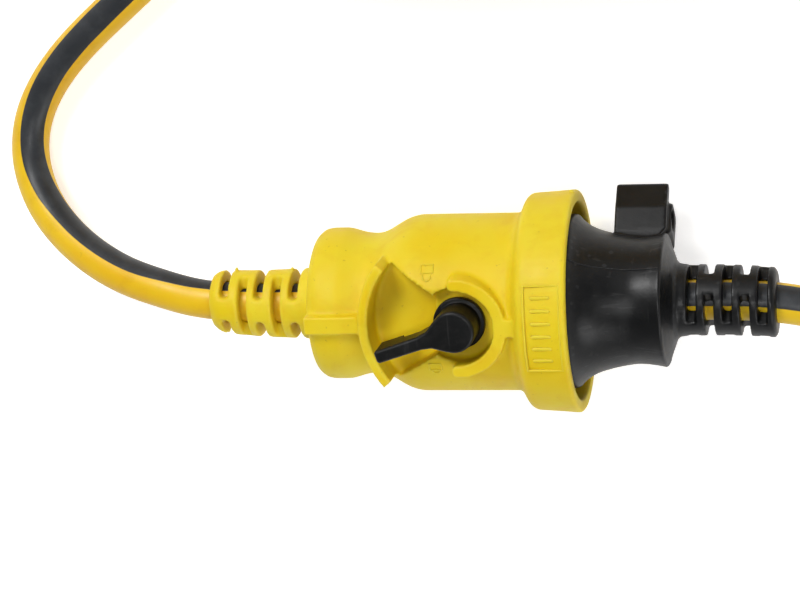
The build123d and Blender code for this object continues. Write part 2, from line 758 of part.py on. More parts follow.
def straight_lead(x0, x1):
    with BuildPart() as run:
        with BuildSketch(Plane.YZ.offset(x0)):
            Circle(cable_r)
        extrude(amount=x1 - x0)
    return run.part.solid()


def swept_lead(curve, cuts):
    """One solid for each stretch of the curve between neighbouring cuts."""
    solids = []
    for start, end in zip(cuts, cuts[1:]):
        stretch = curve.trim(start, end)
        with BuildPart() as run:
            with BuildSketch(Plane(origin=stretch.position_at(0), z_dir=stretch.tangent_at(0))):
                Circle(cable_r)
            sweep(path=stretch)
        solids.append(run.part.solid())
    return solids


def make_leads():
    """The lead on the coil's side of the join, and on the plug's side."""
    route = make_route()
    u_join = find_parameter(route, 1.0, -0.0005, lambda point: point.Y >= lead_join_y)
    u_first = find_parameter(route, 0.0, 0.00005, lambda point: point.X <= lead_straight_socket)
    u_last = find_parameter(route, 1.0, -0.00005, lambda point: point.X >= lead_straight_plug)

    main_cuts = [u_first + (u_join - u_first) * i / main_parts for i in range(main_parts)]
    main_cuts.append(u_join - join_gap)
    main_solids = [straight_lead(lead_straight_socket, lead_end_socket)]
    main_solids += swept_lead(route, main_cuts)

    tail_start = u_join + join_gap
    tail_cuts = [tail_start + (u_last - tail_start) * i / tail_parts
                 for i in range(tail_parts + 1)]
    tail_solids = swept_lead(route, tail_cuts)
    tail_solids.append(straight_lead(lead_end_plug, lead_straight_plug))
    return Compound(children=main_solids), Compound(children=tail_solids)


# ---------------------------------------------------------------- files
save("socket_housing", make_socket_housing())
save("socket_face", make_socket_face())
save("rear_carrier", make_rear_carrier())
save("earth_contact", make_earth_contact())
save("lock_lever", make_lock_lever())
save("lock_spindle", make_lock_spindle())
save("spindle_clip", make_spindle_clip())
save("lock_shoe", make_lock_shoe())
save("plug_housing", make_plug_housing())
save("pin_carrier", make_pin_carrier())
save("earth_pin", make_earth_pin())
for name, angle in (("active", active_angle), ("neutral", neutral_angle)):
    save(f"{name}_contact", make_live_contact(angle))
    save(f"{name}_pin", make_live_pin(angle))
    save(f"{name}_sleeve", make_sleeve(angle))
for name, angle, sheath_x, core_end_x, core_end_r, wire_end_x in core_runs:
    start = radial_point(sheath_x, core_off, angle)
    end = radial_point(core_end_x, core_end_r, angle)
    heading = (math.copysign(1, core_end_x - sheath_x), 0, 0)
    save(f"{name}_core", make_core(start, end, heading))
    save(f"{name}_wire", make_wire(start, end, heading, wire_end_x))
flexible_lead, lead_plug_end = make_leads()
save("flexible_lead", flexible_lead)
save("lead_plug_end", lead_plug_end)
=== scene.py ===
# A locking extension socket with a plug mated into it, on one coiled striped lead.
# Socket and plug share the X axis: the socket's cable end points to -X, the plug's to +X.
# The lead leaves the socket, lies in an oval coil on the floor on the +Y side, and comes
# back round the +X side into the plug. +Z is up. Sizes are in mm unless a comment says
# metres. Places on a round body are an x and an angle about X, in degrees from +Y to +Z.
import math

import bmesh
import bpy
import numpy as np
from mathutils import Matrix, Vector, noise


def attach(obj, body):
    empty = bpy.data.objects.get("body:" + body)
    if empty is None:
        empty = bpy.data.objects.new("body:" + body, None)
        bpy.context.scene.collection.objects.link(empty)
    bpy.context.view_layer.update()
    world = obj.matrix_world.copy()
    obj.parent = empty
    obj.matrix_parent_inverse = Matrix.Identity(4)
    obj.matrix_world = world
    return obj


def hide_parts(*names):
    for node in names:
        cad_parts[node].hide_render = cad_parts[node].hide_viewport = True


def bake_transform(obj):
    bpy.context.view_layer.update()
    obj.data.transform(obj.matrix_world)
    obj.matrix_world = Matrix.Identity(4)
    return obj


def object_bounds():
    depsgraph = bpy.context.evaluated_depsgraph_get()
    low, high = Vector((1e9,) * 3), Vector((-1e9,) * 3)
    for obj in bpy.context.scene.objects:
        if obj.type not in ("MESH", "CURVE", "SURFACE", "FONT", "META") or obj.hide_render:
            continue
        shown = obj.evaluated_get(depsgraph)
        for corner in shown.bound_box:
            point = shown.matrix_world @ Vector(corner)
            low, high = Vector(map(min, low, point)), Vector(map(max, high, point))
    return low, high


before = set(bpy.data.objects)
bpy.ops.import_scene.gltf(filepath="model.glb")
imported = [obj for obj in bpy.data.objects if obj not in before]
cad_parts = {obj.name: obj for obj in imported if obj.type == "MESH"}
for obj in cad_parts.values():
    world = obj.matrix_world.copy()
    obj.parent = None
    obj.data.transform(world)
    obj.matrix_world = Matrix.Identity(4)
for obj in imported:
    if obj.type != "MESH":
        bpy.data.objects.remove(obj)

MM = 0.001
CABLE_R = 4.9
CAMERA_SIDE = math.radians(13.0)     # lean of the view from +Z towards +X
CAMERA_TILT = math.radians(16.0)     # lean of the view from +Z towards +Y
TO_VIEWER = (math.sin(CAMERA_SIDE),
             math.cos(CAMERA_SIDE) * math.sin(CAMERA_TILT),
             math.cos(CAMERA_SIDE) * math.cos(CAMERA_TILT))

cad_lo, cad_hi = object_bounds()
scene = bpy.context.scene


# ------------------------------------------------------------------ materials
MATERIALS = {}      # every material by name, filled as they are made


def srgb(*channels):
    """sRGB 0-255 to linear RGBA."""
    def linear(value):
        value /= 255.0
        return value / 12.92 if value <= 0.04045 else ((value + 0.055) / 1.055) ** 2.4
    return tuple(linear(channel) for channel in channels) + (1.0,)


class Material:
    """One Principled shader; its textures run on object coordinates.

    Arguments that feed a node may be plain values or the output of another node.
    """

    def __init__(self, name):
        material = bpy.data.materials.new(name)
        material.use_nodes = True
        self.tree = material.node_tree
        self.tree.nodes.clear()
        output = self.node("ShaderNodeOutputMaterial")
        self.shader = self.node("ShaderNodeBsdfPrincipled")
        self.feed(self.shader.outputs[0], output.inputs[0])
        self.position = self.node("ShaderNodeTexCoord").outputs["Object"]
        self.normal = None
        MATERIALS[name] = material

    def node(self, kind, **settings):
        node = self.tree.nodes.new(kind)
        for key, value in settings.items():
            setattr(node, key, value)
        return node

    def feed(self, value, socket):
        if hasattr(value, "is_output"):
            self.tree.links.new(value, socket)
        else:
            socket.default_value = value

    def set(self, key, value):
        self.feed(value, self.shader.inputs[key])

    def noise(self, scale, detail=3.0, rough=0.5, vector=None, distortion=0.0):
        node = self.node("ShaderNodeTexNoise")
        node.inputs["Scale"].default_value = scale
        node.inputs["Detail"].default_value = detail
        node.inputs["Roughness"].default_value = rough
        node.inputs["Distortion"].default_value = distortion
        self.feed(self.position if vector is None else vector, node.inputs["Vector"])
        return node.outputs["Fac"]

    def stretched(self, scale, turn=(0, 0, 0)):
        """Object coordinates scaled per axis and turned (radians)."""
        node = self.node("ShaderNodeMapping")
        node.inputs["Scale"].default_value = scale
        node.inputs["Rotation"].default_value = turn
        self.feed(self.position, node.inputs["Vector"])
        return node.outputs[0]

    def remap(self, value, over, to=(0.0, 1.0)):
        """Runs from to[0] to to[1] while the value runs through the span `over`."""
        node = self.node("ShaderNodeMapRange")
        for i, limit in enumerate((*over, *to), start=1):
            node.inputs[i].default_value = limit
        self.feed(value, node.inputs[0])
        return node.outputs[0]

    def math(self, operation, first, second):
        node = self.node("ShaderNodeMath", operation=operation)
        self.feed(first, node.inputs[0])
        self.feed(second, node.inputs[1])
        return node.outputs[0]

    def mix(self, amount, low, high):
        node = self.node("ShaderNodeMix", data_type="RGBA")
        # inputs 6 and 7 are the colour pair
        for value, index in ((amount, 0), (low, 6), (high, 7)):
            self.feed(value, node.inputs[index])
        return node.outputs[2]

    def blend(self, low, high, by, over, to=(0.0, 1.0)):
        """Mixes two colours by a remapped value."""
        return self.mix(self.remap(by, over, to), low, high)

    def edges(self, over):
        """1 on convex edges, 0 elsewhere."""
        pointiness = self.node("ShaderNodeNewGeometry").outputs["Pointiness"]
        return self.remap(pointiness, over)

    def roughness(self, by, low, high):
        self.set("Roughness", self.remap(by, over=(0.3, 0.7), to=(low, high)))

    def bump(self, height, distance, strength):
        """Adds a bump (distance in metres) on top of those already there."""
        node = self.node("ShaderNodeBump")
        node.inputs["Distance"].default_value = distance
        node.inputs["Strength"].default_value = strength
        self.feed(height, node.inputs["Height"])
        if self.normal is not None:
            self.feed(self.normal, node.inputs["Normal"])
        self.normal = node.outputs[0]
        self.set("Normal", self.normal)


def yellow_pvc():
    m = Material("yellow_pvc")
    cloud = m.noise(scale=38.0, rough=0.55)
    blotch = m.noise(scale=110.0, detail=4.0, rough=0.6, distortion=0.4)
    color = m.blend(srgb(230, 199, 8), srgb(232, 211, 44), by=cloud, over=(0.38, 0.66))
    color = m.blend(color, srgb(212, 166, 0), by=blotch, over=(0.50, 0.78), to=(0.0, 0.42))
    # hollows and gaps between parts painted darker by an AO mask: painted shade, also standing
    # for the tan stains there; convex edges painted paler as a painted highlight
    occlusion = m.node("ShaderNodeAmbientOcclusion", samples=6)
    occlusion.inputs["Distance"].default_value = 0.006
    hollow_shade = m.remap(occlusion.outputs["AO"], over=(0.25, 0.85), to=(1.0, 0.0))
    patches = m.remap(m.noise(scale=240.0, detail=4.0, rough=0.65),
                      over=(0.35, 0.7), to=(0.25, 1.0))
    grime_and_shade = m.math("MULTIPLY", hollow_shade, patches)
    # painted shade: a darker ochre mixed into the hollows, in patches
    color = m.mix(m.math("MULTIPLY", grime_and_shade, 0.28), color, srgb(184, 132, 2))
    # painted highlight: convex edges mixed towards a pale yellow
    edge_highlight = m.math("MULTIPLY", m.edges(over=(0.515, 0.60)), 0.35)
    color = m.mix(edge_highlight, color, srgb(244, 224, 104))
    color = m.blend(color, srgb(150, 118, 30), by=m.noise(scale=900.0, detail=2.0),
                    over=(0.70, 0.78), to=(0.0, 0.35))
    m.set("Base Color", color)
    m.roughness(m.noise(scale=160.0, detail=4.0, rough=0.6), low=0.44, high=0.60)
    m.set("Specular IOR Level", 0.30)
    m.set("Subsurface Weight", 0.22)
    m.set("Subsurface Radius", (1.0, 0.55, 0.08))
    m.set("Subsurface Scale", 0.0022)
    scratches = m.noise(scale=420.0, detail=2.0,
                        vector=m.stretched((0.12, 1.0, 1.0), turn=(0.1, 0.2, 0.5)))
    m.bump(m.noise(scale=1500.0, rough=0.6), distance=0.00004, strength=0.55)
    m.bump(m.noise(scale=95.0, detail=2.0), distance=0.0005, strength=0.16)
    m.bump(m.remap(scratches, over=(0.62, 0.72)), distance=0.00005, strength=0.35)


def black_pvc(name, base, rough):
    """Black moulding with dust, a painted highlight on its convex edges and fine scratches in
    two directions.
    """
    m = Material(name)
    paler = [channel + 6 for channel in base]
    color = m.blend(srgb(*base), srgb(*paler),
                    by=m.noise(scale=60.0, detail=4.0, rough=0.6), over=(0.35, 0.7))
    dust = m.math("MULTIPLY",
                  m.remap(m.noise(scale=420.0, detail=5.0, rough=0.7), over=(0.48, 0.8)),
                  m.remap(m.noise(scale=45.0, detail=2.0), over=(0.42, 0.65), to=(0.0, 0.28)))
    color = m.mix(dust, color, srgb(60, 58, 55))
    # painted highlight: convex edges mixed towards a paler grey
    edge_highlight = m.math("MULTIPLY", m.edges(over=(0.52, 0.60)), 0.25)
    color = m.mix(edge_highlight, color, srgb(66, 68, 70))
    along = m.noise(scale=620.0, detail=2.0,
                    vector=m.stretched((0.07, 1.0, 1.0), turn=(0.3, 0.5, 0.9)))
    across = m.noise(scale=500.0, detail=2.0,
                     vector=m.stretched((1.0, 0.08, 0.6), turn=(0.9, 0.2, 0.3)))
    scratches = m.math("MAXIMUM", m.remap(along, over=(0.655, 0.70)),
                       m.remap(across, over=(0.675, 0.72)))
    color = m.mix(m.math("MULTIPLY", scratches, 0.10), color, srgb(90, 90, 90))
    m.set("Base Color", color)
    m.roughness(m.noise(scale=200.0, detail=4.0, rough=0.65), *rough)
    m.set("Specular IOR Level", 0.30)
    m.bump(m.noise(scale=1700.0, rough=0.6), distance=0.00004, strength=0.5)
    m.bump(m.noise(scale=120.0, detail=2.0), distance=0.0004, strength=0.12)
    m.bump(scratches, distance=0.00003, strength=0.3)


def lead_sheath():
    """Yellow with one wide black stripe, placed by the attributes on the mesh."""
    m = Material("lead_sheath")
    angle = m.node("ShaderNodeAttribute", attribute_name="stripe_angle").outputs["Fac"]
    along = m.node("ShaderNodeAttribute", attribute_name="along").outputs["Fac"]
    run = m.node("ShaderNodeCombineXYZ")
    m.feed(along, run.inputs[0])
    m.feed(angle, run.inputs[1])
    # degrees; the stripe's border wanders a little
    wobble = m.remap(m.noise(scale=0.05, vector=run.outputs[0]), over=(0.3, 0.7), to=(-1.2, 1.2))
    stripe = m.remap(m.math("ADD", angle, wobble), over=(38.4, 39.8), to=(1.0, 0.0))
    yellow = m.blend(srgb(232, 182, 4), srgb(238, 198, 24),
                     by=m.noise(scale=30.0, rough=0.55), over=(0.36, 0.68))
    yellow = m.blend(yellow, srgb(196, 140, 14), by=m.noise(scale=130.0, detail=4.0, rough=0.6),
                     over=(0.55, 0.8), to=(0.0, 0.4))
    scuffs = m.noise(scale=260.0, detail=5.0, rough=0.7, vector=m.stretched((1.0, 0.5, 1.0)))
    yellow = m.blend(yellow, srgb(150, 112, 38), by=scuffs, over=(0.66, 0.75), to=(0.0, 0.5))
    black = m.blend(srgb(38, 41, 45), srgb(70, 73, 76),
                    by=m.noise(scale=180.0, detail=4.0, rough=0.6),
                    over=(0.45, 0.8), to=(0.0, 0.5))
    m.set("Base Color", m.mix(stripe, yellow, black))
    m.roughness(m.noise(scale=150.0, detail=4.0, rough=0.6), low=0.34, high=0.48)
    m.set("Specular IOR Level", 0.45)
    m.set("Subsurface Weight", m.remap(stripe, over=(0.0, 1.0), to=(0.15, 0.0)))
    m.set("Subsurface Radius", (1.0, 0.5, 0.08))
    m.set("Subsurface Scale", 0.0015)
    m.bump(m.noise(scale=1200.0, rough=0.6), distance=0.00004, strength=0.4)
    m.bump(m.noise(scale=70.0, detail=2.0), distance=0.0006, strength=0.15)
    m.bump(stripe, distance=0.00006, strength=0.5)


def metal(name, color, rough):
    """Brushed along X and slightly tarnished."""
    m = Material(name)
    tarnish = m.noise(scale=300.0, detail=5.0, rough=0.65)
    dark = [int(channel * 0.72) for channel in color]
    m.set("Base Color", m.blend(srgb(*color), srgb(*dark), by=tarnish,
                                over=(0.40, 0.75), to=(0.0, 0.8)))
    m.set("Metallic", 1.0)
    brushed = m.noise(scale=900.0, rough=0.6, vector=m.stretched((0.08, 1.0, 1.0)))
    m.roughness(brushed, low=rough - 0.07, high=rough + 0.14)
    m.bump(brushed, distance=0.00002, strength=0.6)
    m.bump(tarnish, distance=0.00003, strength=0.3)


def plain_plastic(name, color, paler):
    m = Material(name)
    m.set("Base Color", m.blend(srgb(*color), srgb(*paler), over=(0.35, 0.7),
                                by=m.noise(scale=140.0, detail=4.0, rough=0.6)))
    m.roughness(m.noise(scale=260.0, detail=4.0, rough=0.6), low=0.4, high=0.55)
    m.set("Subsurface Weight", 0.05)
    m.set("Subsurface Scale", 0.001)
    m.bump(m.noise(scale=1400.0, rough=0.6), distance=0.00004, strength=0.5)
    m.bump(m.noise(scale=90.0, detail=2.0), distance=0.0003, strength=0.12)


def earth_core():
    """Yellow on the +Y half, green on the other."""
    m = Material("core_earth")
    axes = m.node("ShaderNodeSeparateXYZ")
    m.feed(m.position, axes.inputs[0])
    side = m.math("GREATER_THAN", axes.outputs[1], 0.0)
    color = m.mix(side, srgb(62, 140, 58), srgb(226, 206, 52))
    color = m.blend(color, srgb(60, 90, 40), by=m.noise(scale=300.0, rough=0.6),
                    over=(0.4, 0.75), to=(0.0, 0.3))
    m.set("Base Color", color)
    m.roughness(m.noise(scale=260.0, detail=4.0, rough=0.6), low=0.4, high=0.55)
    m.bump(m.noise(scale=1400.0, rough=0.6), distance=0.00004, strength=0.5)


yellow_pvc()
black_pvc("black_pvc", base=(9, 10, 11), rough=(0.30, 0.42))
black_pvc("lever_black", base=(7, 8, 8), rough=(0.34, 0.46))
lead_sheath()
metal("brass", color=(214, 178, 104), rough=0.28)
metal("steel", color=(170, 172, 176), rough=0.32)
metal("copper", color=(196, 122, 82), rough=0.35)
plain_plastic("nylon", color=(214, 208, 190), paler=(228, 224, 210))
black_pvc("sleeve_black", base=(26, 27, 28), rough=(0.32, 0.45))
plain_plastic("core_brown", color=(92, 58, 34), paler=(108, 70, 42))
plain_plastic("core_blue", color=(52, 112, 190), paler=(64, 126, 202))
earth_core()


# ------------------------------------------------------------------ mesh helpers
def new_object(name, data):
    obj = bpy.data.objects.new(name, data)
    scene.collection.objects.link(obj)
    return obj


def shade_smooth(obj):
    obj.data.polygons.foreach_set("use_smooth", [True] * len(obj.data.polygons))
    obj.data.update()


def dress(obj, material):
    """Gives a piece its material and the slot of the same name."""
    obj.data.materials.clear()
    obj.data.materials.append(MATERIALS[material])


def mesh_object(name, verts, faces):
    """A smooth object from vertices in metres."""
    mesh = bpy.data.meshes.new(name)
    mesh.from_pydata([tuple(vert) for vert in verts], [], faces)
    mesh.validate()
    bm = bmesh.new()
    bm.from_mesh(mesh)
    bmesh.ops.recalc_face_normals(bm, faces=bm.faces)
    bm.to_mesh(mesh)
    bm.free()
    obj = new_object(name, mesh)
    shade_smooth(obj)
    return obj


def ring_quads(rings, sides, base=0, closed=False):
    """Quads between successive rings of vertices, the first ring starting at `base`."""
    faces = []
    for i in range(rings if closed else rings - 1):
        near = base + i * sides
        far = base + (i + 1) % rings * sides
        for k in range(sides):
            n = (k + 1) % sides
            faces.append((near + k, near + n, far + n, far + k))
    return faces


def ring_caps(rings, sides, base=0, flip=False):
    """The two end faces; `flip` turns both over."""
    last = base + (rings - 1) * sides
    first_cap = tuple(range(base, base + sides))
    last_cap = tuple(range(last, last + sides))
    if flip:
        return [first_cap[::-1], last_cap]
    return [first_cap, last_cap[::-1]]


def bake(obj):
    """Applies every modifier."""
    bpy.context.view_layer.update()
    depsgraph = bpy.context.evaluated_depsgraph_get()
    depsgraph.update()
    mesh = bpy.data.meshes.new_from_object(obj.evaluated_get(depsgraph))
    obj.modifiers.clear()
    old = obj.data
    obj.data = mesh
    bpy.data.meshes.remove(old)


def soft_copy(node, name, material, voxel, smoothing):
    """A soft-edged copy of a CAD node: welded, remeshed on a fine grid and smoothed."""
    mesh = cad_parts[node].data.copy()
    mesh.materials.clear()
    bm = bmesh.new()
    bm.from_mesh(mesh)
    bmesh.ops.remove_doubles(bm, verts=bm.verts, dist=2e-6)
    bm.to_mesh(mesh)
    bm.free()
    obj = new_object(name, mesh)
    grid = obj.modifiers.new("grid", "REMESH")
    grid.mode = "VOXEL"
    grid.voxel_size = voxel * MM
    grid.adaptivity = 0.0
    soften = obj.modifiers.new("soften", "SMOOTH")
    soften.factor = 0.5
    soften.iterations = smoothing
    bake(obj)
    shade_smooth(obj)
    dress(obj, material)
    return obj


# ------------------------------------------------------------------ the lead's route
GROUND = -22.5                      # height of the lead's centre when it lies on the floor
COIL_X, COIL_Y = 12.0, 156.0        # centre of the oval coil
COIL_HALF_X, COIL_HALF_Y = 141.0, 61.0
COIL_POWER = 2.5                    # 2 is an ellipse, more is squarer
RIM_STEPS = 1440
COIL_PITCH = 10.4                   # rise per turn
COIL_TURNS = 3
POINTS_PER_TURN = 44
FIRST_RISE = 0.6                    # part of a turn in which the lead climbs its first pitch
COIL_START_X = 97.0
ROUTE_STEP = 1.5

# x, y, z: out of the socket, round a hook and down to the floor
HOOK = [
    (-62.0, 0, 0), (-67.0, 0, 0), (-72.0, 0.02, 0), (-77.0, 0.14, 0), (-82.0, 0.40, 0),
    (-88.0, 0.92, -0.03), (-95.0, 2.0, -0.35), (-103, 4.0, -1.4), (-111.6, 6.3, -3.7),
    (-120.5, 9.9, -7.0), (-128.5, 14.7, -10.8), (-135.6, 21.3, -15.0), (-140.0, 28.9, -18.5),
    (-141.5, 36.5, -20.9), (-140.2, 44.4, -22.2), (-136.2, 52.2, GROUND),
    (-130.1, 59.7, GROUND), (-122, 67.2, GROUND), (-112.6, 74.8, GROUND)]
# x, y: along the floor, across the inside of the coil
CHORD = [(-86, 96.6), (-54, 123.4), (-22, 150.2), (10, 176.5), (36, 196.0), (58, 208.2),
         (80, 213.8)]
# x, y, height above the coil's end: leaving the coil
COIL_EXIT = [(152.9, 150.0, 0.6), (155.0, 132.0, 0.3), (156.4, 114.0, -1.5)]
# x, y, z: round the +X side and into the plug
RETURN = [
    (157.3, 96.0, 7.0), (157.0, 78.0, 2.5), (154.6, 60.0, -1.2), (149.5, 42.0, -3.8),
    (141.0, 25.5, -5.2), (129.0, 11.5, -5.6), (114.5, 1.0, -5.0), (99.0, -4.8, -3.4),
    (84.0, -5.7, -1.6), (70.5, -3.75, -0.4), (63.0, -2.35, -0.1), (57.6, -1.40, 0),
    (53.9, -0.86, 0), (49.0, -0.40, 0), (44.0, -0.15, 0), (39.0, -0.03, 0), (33.0, 0, 0)]


def travelled(points):
    """Distance along a line of points, at each point."""
    return np.concatenate([[0.0], np.cumsum(np.linalg.norm(np.diff(points, axis=0), axis=1))])


def oval_rim():
    """The coil's outline, clockwise seen from above, from its +Y side."""
    points = []
    for i in range(RIM_STEPS + 1):
        angle = math.pi / 2 - 2 * math.pi * i / RIM_STEPS
        c, s = math.cos(angle), math.sin(angle)
        points.append((COIL_X + COIL_HALF_X * math.copysign(abs(c) ** (2 / COIL_POWER), c),
                       COIL_Y + COIL_HALF_Y * math.copysign(abs(s) ** (2 / COIL_POWER), s)))
    return np.array(points)


def coil_points():
    rim = oval_rim()
    rim_dist = travelled(rim)
    perimeter = rim_dist[-1]

    def rim_at(distance):
        distance = distance % perimeter
        return [float(np.interp(distance, rim_dist, rim[:, axis])) for axis in (0, 1)]

    start = 0.0
    while rim_at(start)[0] < COIL_START_X:
        start += 0.5
    points = []
    for i in range(COIL_TURNS * POINTS_PER_TURN + 4):
        turn = i / POINTS_PER_TURN
        pitches = turn / FIRST_RISE if turn < FIRST_RISE else (1 - FIRST_RISE) + turn
        x, y = rim_at(start + i * perimeter / POINTS_PER_TURN)
        points.append((x, y, GROUND + COIL_PITCH * pitches))
    return points


def spline(points, step):
    """Natural cubic spline by chord length, sampled at even distances."""
    p = np.array(points, float)
    knots = travelled(p)
    n = len(knots)
    h = np.diff(knots)
    system = np.zeros((n, n))
    right = np.zeros((n, 3))
    system[0, 0] = system[-1, -1] = 1.0
    for i in range(1, n - 1):
        system[i, i - 1:i + 2] = h[i - 1], 2 * (h[i - 1] + h[i]), h[i]
        right[i] = 6 * ((p[i + 1] - p[i]) / h[i] - (p[i] - p[i - 1]) / h[i - 1])
    bend = np.linalg.solve(system, right)      # second derivatives at the knots
    fine = np.linspace(0, knots[-1], int(knots[-1] / 0.5) + 1)
    k = np.clip(np.searchsorted(knots, fine, side="right") - 1, 0, n - 2)
    to_next = (knots[k + 1] - fine)[:, None]
    from_last = (fine - knots[k])[:, None]
    span = h[k][:, None]
    curve = ((bend[k] * to_next ** 3 + bend[k + 1] * from_last ** 3) / (6 * span)
             + (p[k] / span - bend[k] * span / 6) * to_next
             + (p[k + 1] / span - bend[k + 1] * span / 6) * from_last)
    run = travelled(curve)
    even = np.linspace(0, run[-1], int(round(run[-1] / step)) + 1)
    return np.stack([np.interp(even, run, curve[:, axis]) for axis in range(3)], 1)


def lead_path():
    coil = coil_points()
    coil_top = coil[-1][2]
    route = (HOOK + [(x, y, GROUND) for x, y in CHORD] + coil
             + [(x, y, coil_top + z) for x, y, z in COIL_EXIT] + RETURN)
    # the lead also runs on inside both mouldings
    in_socket = [(x, 0, 0) for x in np.arange(-54.6, -61.9, -ROUTE_STEP)]
    return np.vstack([in_socket, spline(route, ROUTE_STEP), [[31.9, 0, 0]]])


path = lead_path()
dist = travelled(path)
# the ends of the route inside and near the mouldings, by rising x
socket_run = path[dist < 60][::-1]
plug_run = path[dist > dist[-1] - 30][::-1]


# ------------------------------------------------------------------ the lead
SHEATH_SIDES = 40
# distance along the lead, angle of the stripe's centre in degrees from the viewer's side
# towards the left of the run: the stripe starts inside the hook and rolls outwards
STRIPE_KEYS = np.array([
    (0, -75), (36, -71), (52, -56), (84, -45), (102, -18), (117, -8), (129, 0), (143, 4),
    (170, 9), (215, 20), (300, 48), (420, 82), (600, 110)])
STRIPE_TWIST = 0.21                 # degrees per mm after the last key
STRIPE_AT_PLUG = -21.0              # degrees
TWIST_BACK_START = 330              # before the lead's end
TWIST_BACK_LENGTH = 280.0
STRIPE_SMOOTHING = 15               # path points


def ease(t):
    t = np.clip(t, 0, 1)
    return t * t * (3 - 2 * t)


def cross_axes():
    """Across the run at each path point: towards the viewer, and left as the viewer sees it."""
    viewer = np.array(TO_VIEWER)
    tangent = np.gradient(path, axis=0)
    tangent /= np.linalg.norm(tangent, axis=1)[:, None]
    facing = viewer[None, :] - (tangent @ viewer)[:, None] * tangent
    facing /= np.linalg.norm(facing, axis=1)[:, None]
    return facing, np.cross(facing, tangent)


def stripe_centre():
    """Angle of the stripe's centre at each path point, degrees."""
    last_dist, last_angle = STRIPE_KEYS[-1]
    angle = np.interp(dist, STRIPE_KEYS[:, 0], STRIPE_KEYS[:, 1])
    late = dist > last_dist
    angle[late] = last_angle + (dist[late] - last_dist) * STRIPE_TWIST
    # the last stretch comes round to where it enters the plug
    i = int(np.searchsorted(dist, dist[-1] - TWIST_BACK_START))
    start = angle[i]
    goal = STRIPE_AT_PLUG + 360.0 * round((start - STRIPE_AT_PLUG) / 360.0)
    angle[i:] = start + (goal - start) * ease((dist[i:] - dist[i]) / TWIST_BACK_LENGTH)
    kernel = np.hanning(STRIPE_SMOOTHING)
    kernel /= kernel.sum()
    padded = np.pad(angle, STRIPE_SMOOTHING // 2, mode="edge")
    return np.convolve(padded, kernel, mode="valid")


facing_axis, left_axis = cross_axes()
stripe = stripe_centre()


def sheath(name, first, last):
    """Round sheath between two path points, with the stripe's angle kept on every vertex."""
    verts, stripe_angle, along = [], [], []
    for i in range(first, last + 1):
        for k in range(SHEATH_SIDES):
            angle = 2 * math.pi * k / SHEATH_SIDES
            c, s = math.cos(angle), math.sin(angle)
            # shallow dents only, never fuller than the cable's radius
            r = CABLE_R * (1.0 + 0.006 * noise.noise(Vector((dist[i] * 0.012, c, s))))
            r = min(r, CABLE_R)
            verts.append((path[i] + r * (c * facing_axis[i] + s * left_axis[i])) * MM)
            off_centre = (math.degrees(angle) - stripe[i] + 180.0) % 360.0 - 180.0
            stripe_angle.append(abs(off_centre))
            along.append(dist[i])
    rings = last - first + 1
    faces = ring_quads(rings, SHEATH_SIDES) + ring_caps(rings, SHEATH_SIDES)
    obj = mesh_object(name, verts, faces)
    for key, values in (("stripe_angle", stripe_angle), ("along", along)):
        attribute = obj.data.attributes.new(key, "FLOAT", "POINT")
        attribute.data.foreach_set("value", np.array(values, np.float32))
    dress(obj, "lead_sheath")
    return obj


# the tail starts on the coil's last run along its +Y side, where nothing moves
# when the plug is pulled
split = [i for i in range(len(path)) if path[i][1] > 200 and abs(path[i][0] - 60) < 1.2][-1]
lead = sheath("lead", 0, split)
lead_tail = sheath("lead_tail", split, len(path) - 1)


# ------------------------------------------------------------------ mouldings
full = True
socket = soft_copy("socket_housing", "socket_moulding", "yellow_pvc",
                   voxel=0.50 if full else 0.55, smoothing=3)
plug = soft_copy("plug_housing", "plug_moulding", "black_pvc",
                 voxel=0.36 if full else 0.45, smoothing=3)
lever = soft_copy("lock_lever", "lever_moulding", "lever_black",
                  voxel=0.22 if full else 0.3, smoothing=5)


def stretch(ends, windows_from, windows_to):
    """Matching x rows before and after a strain relief is stretched; its windows widen."""
    half_from, half_to = 0.95, 1.15
    pairs = list(ends)
    for a, b in zip(windows_from, windows_to):
        pairs += [(a - half_from, b - half_to), (a + half_from, b + half_to)]
    return np.array(sorted(pairs)).T


# ends: x before, x after; windows: the x of each centre before and after
SOCKET_STRETCH = stretch(
    ends=[(-95, -97.2), (-85.7, -87.9), (-59.5, -60.1), (-53, -53), (60, 60)],
    windows_from=[-83.0, -78.6, -74.2, -69.8, -65.4],
    windows_to=[-83.8, -79.0, -74.8, -70.2, -65.7])
PLUG_STRETCH = stretch(
    ends=[(-60, -60), (18, 18), (23.5, 22.6), (26.0, 24.8), (28.4, 26.7), (29.0, 27.2),
          (30.2, 28.5), (31.8, 29.3), (33.4, 30.2), (57.4, 53.9), (70, 66.5)],
    windows_from=[36.2, 40.6, 45.0, 49.4, 53.8],
    windows_to=[33.6, 37.8, 42.2, 46.4, 50.7])


def reshape(obj, move):
    """Lets `move` change an array of the vertices' positions in mm."""
    co = np.zeros(len(obj.data.vertices) * 3, np.float32)
    obj.data.vertices.foreach_get("co", co)
    co = co.reshape(-1, 3).astype(float) / MM
    move(co)
    obj.data.vertices.foreach_set("co", (co * MM).astype(np.float32).ravel())
    obj.data.update()


def rise(x, start, length):
    """0 before `start`, easing to 1 over `length`."""
    return ease((x - start) / length)


def fall(x, end, length):
    """1 until `length` before `end`, easing to 0 there."""
    return ease((end - x) / length)


def axis_distance(co):
    return np.hypot(co[:, 1], co[:, 2])


def lean_collar(co):
    """The soft collar stands a little out of square."""
    weight = (rise(co[:, 0], start=-9.0, length=4.0)
              * rise(axis_distance(co), start=20.5, length=3.0))
    co[:, 0] += weight * (-0.010 * co[:, 1] + 0.010 * co[:, 2])


